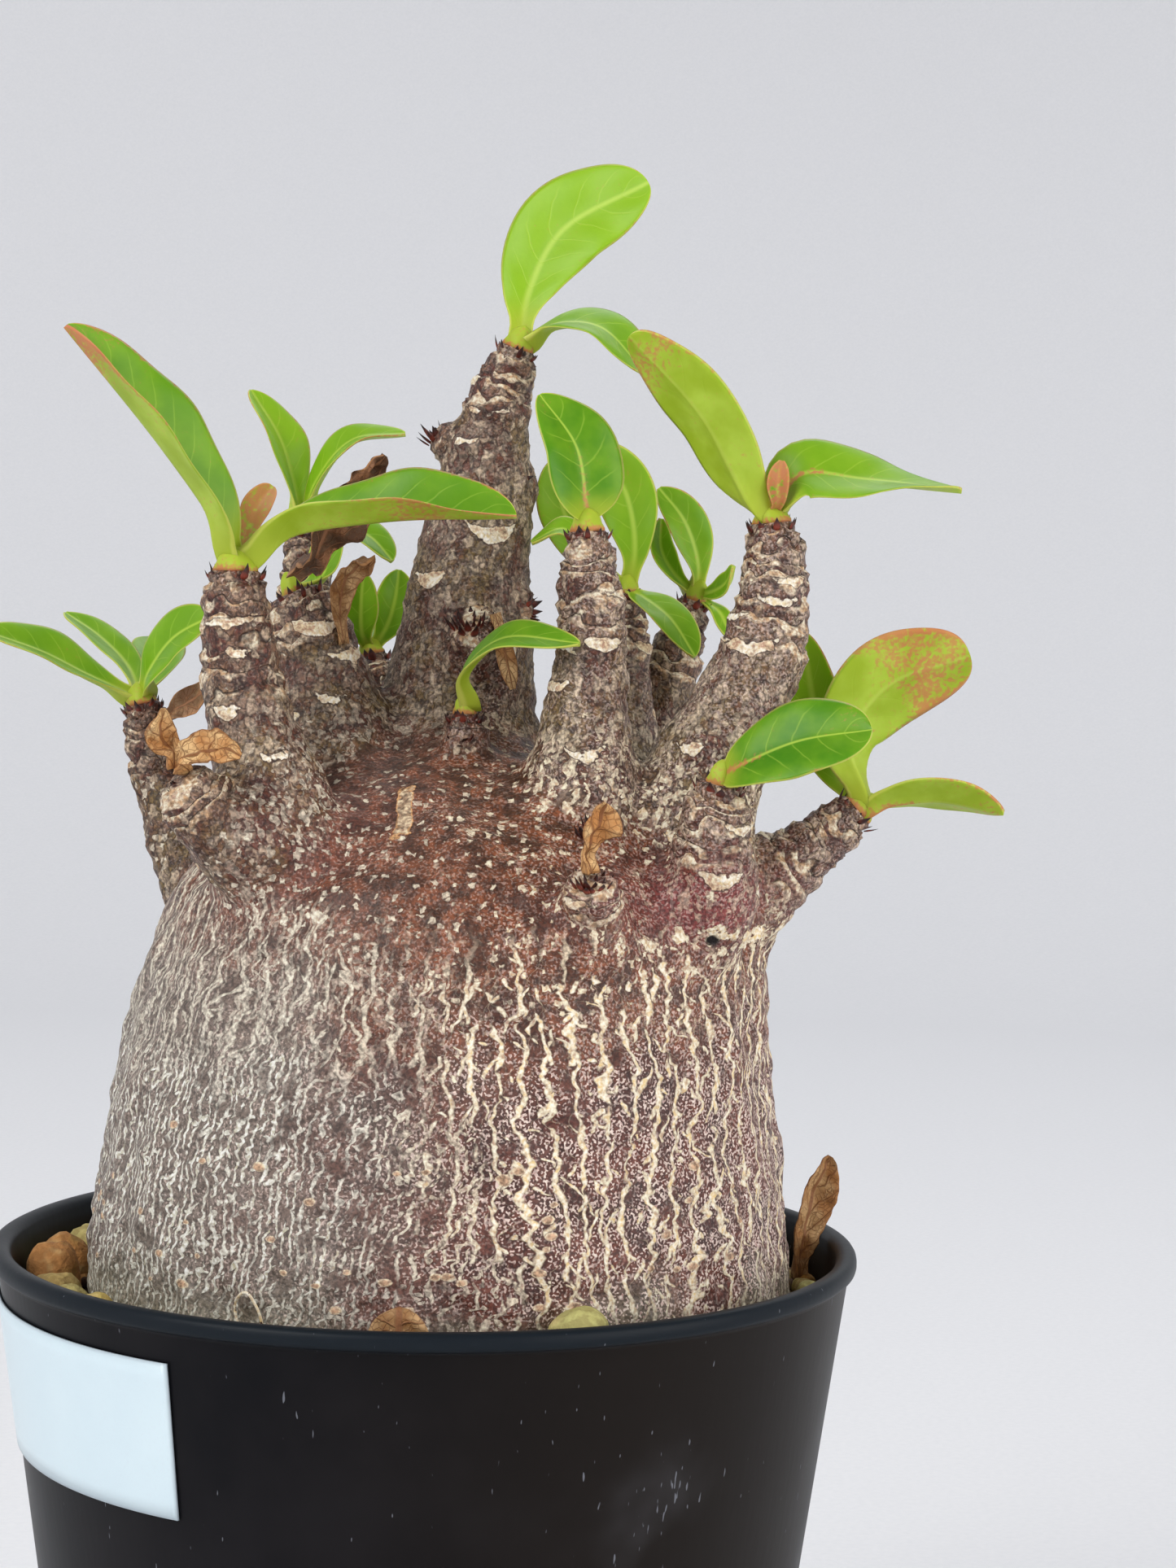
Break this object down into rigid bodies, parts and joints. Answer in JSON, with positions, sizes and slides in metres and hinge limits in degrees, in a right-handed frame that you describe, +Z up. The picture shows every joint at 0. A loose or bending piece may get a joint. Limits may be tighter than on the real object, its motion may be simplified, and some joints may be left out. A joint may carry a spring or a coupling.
{
  "type": "potted adenium arabicum",
  "caption": "Swollen-based desert rose plant with short ringed branches and fleshy leaves, in a plain round plastic nursery pot of gritty mix.",
  "frame": {"origin": "centre of the pot's underside, on the surface that it stands on", "axes": "+Z up along the pot's axis, -Y towards the front of the plant, +X to its right"},
  "size_m": [0.1254, 0.105, 0.2275],
  "materials": {
    "pot_plastic": "satin",
    "label_paper": "satin",
    "growing_mix": "matte",
    "bark": "matte",
    "leaf": "satin",
    "dried_leaf": "matte"
  },
  "bodies": {
    "root": {"pot": "pot_plastic", "label": "label_paper", "growing_mix": "growing_mix", "caudex": "bark", "leaves_crown": "leaf", "leaves_left_front": "leaf", "leaves_middle": "leaf", "leaves_right": "leaf", "leaves_right_front": "leaf", "leaves_far_right": "leaf", "leaves_far_left": "leaf", "leaves_left_stub": "leaf", "leaves_left_back": "leaf", "leaves_back_low": "leaf", "leaves_back_middle": "leaf", "leaves_right_back": "leaf", "leaves_dome": "leaf", "dried_leaf_left_stub": "dried_leaf", "dried_curl_left_stub": "dried_leaf", "dried_leaf_far_left": "dried_leaf", "dried_leaf_front_stub": "dried_leaf", "dried_strip_trunk": "dried_leaf", "dried_leaves_left_stub_end": "dried_leaf", "husk_in_pot": "dried_leaf", "husk_at_rim": "dried_leaf"}
  },
  "joints": []
}
